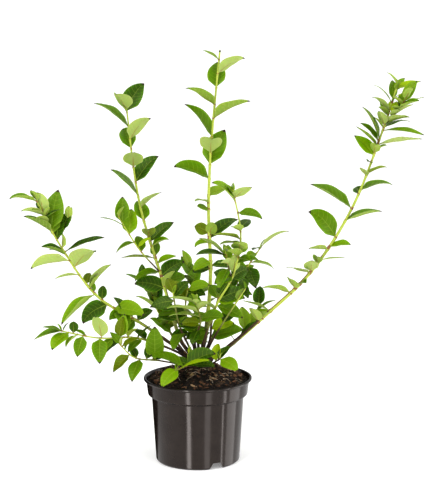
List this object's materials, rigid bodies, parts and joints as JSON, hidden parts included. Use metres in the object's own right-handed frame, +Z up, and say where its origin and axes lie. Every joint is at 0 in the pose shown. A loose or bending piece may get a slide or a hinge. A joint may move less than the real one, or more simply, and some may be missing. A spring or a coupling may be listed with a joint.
{
  "type": "potted blueberry bush",
  "caption": "Young blueberry bush with leafy upright and arching shoots, rooted in potting mix in a plain dark nursery pot.",
  "frame": {"origin": "middle of the flat underside of the pot", "axes": "+Z up along the pot's axis, -Y towards the side the plant is seen from"},
  "size_m": [0.6353, 0.2969, 0.6432],
  "materials": {
    "pot": "dark grey-brown moulded plastic, satin with soft vertical reflections",
    "soil": "moist dark potting mix with bark chips and pale fibres",
    "wood": "dark brown flaky bark of the old wood",
    "cane": "smooth yellow-green young bark, browner and ridged towards the foot",
    "foliage": "smooth leaves, mid green and glossy above, paler and matt below"
  },
  "bodies": {
    "root": {"pot": "pot", "soil": "soil", "crown": "wood", "cane_back": "cane", "cane_back_left": "cane", "cane_back_right": "cane", "cane_centre": "cane", "cane_far_left": "cane", "cane_far_right": "cane", "cane_front": "cane", "cane_front_right": "cane", "cane_front_short": "cane", "cane_left": "cane", "cane_low_front_left": "cane", "cane_low_left": "cane", "cane_pruned": "cane", "cane_right_inner": "cane", "back": "foliage", "back_left": "foliage", "back_right": "foliage", "centre_lower": "foliage", "centre_tip": "foliage", "centre_upper": "foliage", "far_left_lower": "foliage", "far_left_middle": "foliage", "far_left_tip": "foliage", "far_right_lower": "foliage", "far_right_middle": "foliage", "far_right_tip": "foliage", "far_right_upper": "foliage", "front": "foliage", "front_right": "foliage", "front_short": "foliage", "heart_back_1": "foliage", "heart_back_2": "foliage", "heart_front": "foliage", "heart_left": "foliage", "heart_middle": "foliage", "heart_right": "foliage", "left_lower": "foliage", "left_tip": "foliage", "left_upper": "foliage", "low_front_left": "foliage", "low_left_inner": "foliage", "low_left_tip": "foliage", "right_inner": "foliage"}
  },
  "joints": []
}
